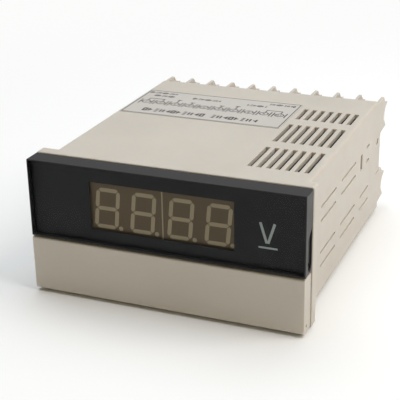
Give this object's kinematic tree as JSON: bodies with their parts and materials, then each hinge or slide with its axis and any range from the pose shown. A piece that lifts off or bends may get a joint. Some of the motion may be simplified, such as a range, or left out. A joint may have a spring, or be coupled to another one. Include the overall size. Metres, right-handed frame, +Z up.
{
  "type": "digital panel meter",
  "caption": "Flush-mounting digital panel meter: black-framed display over a hinged setting flap, vented rectangular case and rear rows of barrier screw terminals.",
  "frame": {"origin": "middle of the underside of the bounding box with the flap shut, below the bezel's lower edge", "axes": "+X to the reader's right, +Y from the display back to the terminals, +Z up; the display faces -Y"},
  "size_m": [0.096, 0.1172, 0.048],
  "materials": {
    "case_plastic": "fine texture",
    "frame_black": "satin",
    "smoked_lens": "polished smoked acrylic",
    "mask_black": "matt",
    "module_grey": "matt",
    "segment": "diffusing",
    "circuit_board": "solder resist",
    "chip_black": "moulded",
    "trimmer_blue": "moulded",
    "brass": "bright",
    "switch_red": "moulded",
    "slider_white": "moulded",
    "core_steel": "laminated",
    "bobbin_plastic": "moulded",
    "winding_tape": "tape",
    "capacitor_sleeve": "sleeve",
    "aluminium": "extruded",
    "plated_steel": "nickel plated",
    "label": "satin film"
  },
  "bodies": {
    "housing": {"case_body": "case_plastic", "front_bezel": "case_plastic", "display_frame": "frame_black", "front_lens": "smoked_lens", "lens_mask": "mask_black", "led_module_left": "module_grey", "led_module_right": "module_grey", "led_segments_left": "segment", "led_segments_right": "segment", "display_board": "circuit_board", "driver_chip": "chip_black", "zero_trimmer_body": "trimmer_blue", "span_trimmer_body": "trimmer_blue", "dip_switch_body": "switch_red", "main_board": "circuit_board", "board_header": "chip_black", "transformer_core": "core_steel", "transformer_bobbin": "bobbin_plastic", "transformer_winding": "winding_tape", "filter_capacitor_large": "capacitor_sleeve", "filter_capacitor_small": "capacitor_sleeve", "regulator_heatsink": "aluminium", "voltage_regulator": "chip_black", "bridge_rectifier": "chip_black", "chip_socket": "chip_black", "converter_chip": "chip_black", "rear_cover": "case_plastic", "terminal_block_upper": "case_plastic", "terminal_block_lower": "case_plastic", "terminal_board": "circuit_board", "terminal_plates_upper": "brass", "terminal_plates_lower": "brass", "terminal_clamps_upper": "plated_steel", "terminal_clamps_lower": "plated_steel", "terminal_screws_upper": "plated_steel", "terminal_screws_lower": "plated_steel", "wiring_label": "label"},
    "flap": {"setting_flap": "case_plastic"},
    "zero_adjuster": {"zero_trimmer_rotor": "brass"},
    "span_adjuster": {"span_trimmer_rotor": "brass"},
    "switch_way_1": {"dip_slider_1": "slider_white"},
    "switch_way_2": {"dip_slider_2": "slider_white"},
    "switch_way_3": {"dip_slider_3": "slider_white"},
    "switch_way_4": {"dip_slider_4": "slider_white"}
  },
  "joints": [
    {"name": "flap_hinge", "type": "hinge", "parent": "housing", "child": "flap", "pos_m": [0, -0.05615, 0.003], "axis": [1, 0, 0], "range_deg": [0, 90]},
    {"name": "zero_turn", "type": "hinge", "parent": "housing", "child": "zero_adjuster", "pos_m": [-0.031, -0.05245, 0.01148], "axis": [0, -1, 0], "range_deg": [-135, 135]},
    {"name": "span_turn", "type": "hinge", "parent": "housing", "child": "span_adjuster", "pos_m": [-0.014, -0.05245, 0.01148], "axis": [0, -1, 0], "range_deg": [-135, 135]},
    {"name": "switch_slide_1", "type": "slide", "parent": "housing", "child": "switch_way_1", "axis": [0, 0, 1], "range_m": [0, 0.002]},
    {"name": "switch_slide_2", "type": "slide", "parent": "housing", "child": "switch_way_2", "axis": [0, 0, 1], "range_m": [0, 0.002]},
    {"name": "switch_slide_3", "type": "slide", "parent": "housing", "child": "switch_way_3", "axis": [0, 0, 1], "range_m": [0, 0.002]},
    {"name": "switch_slide_4", "type": "slide", "parent": "housing", "child": "switch_way_4", "axis": [0, 0, 1], "range_m": [0, 0.002]}
  ]
}
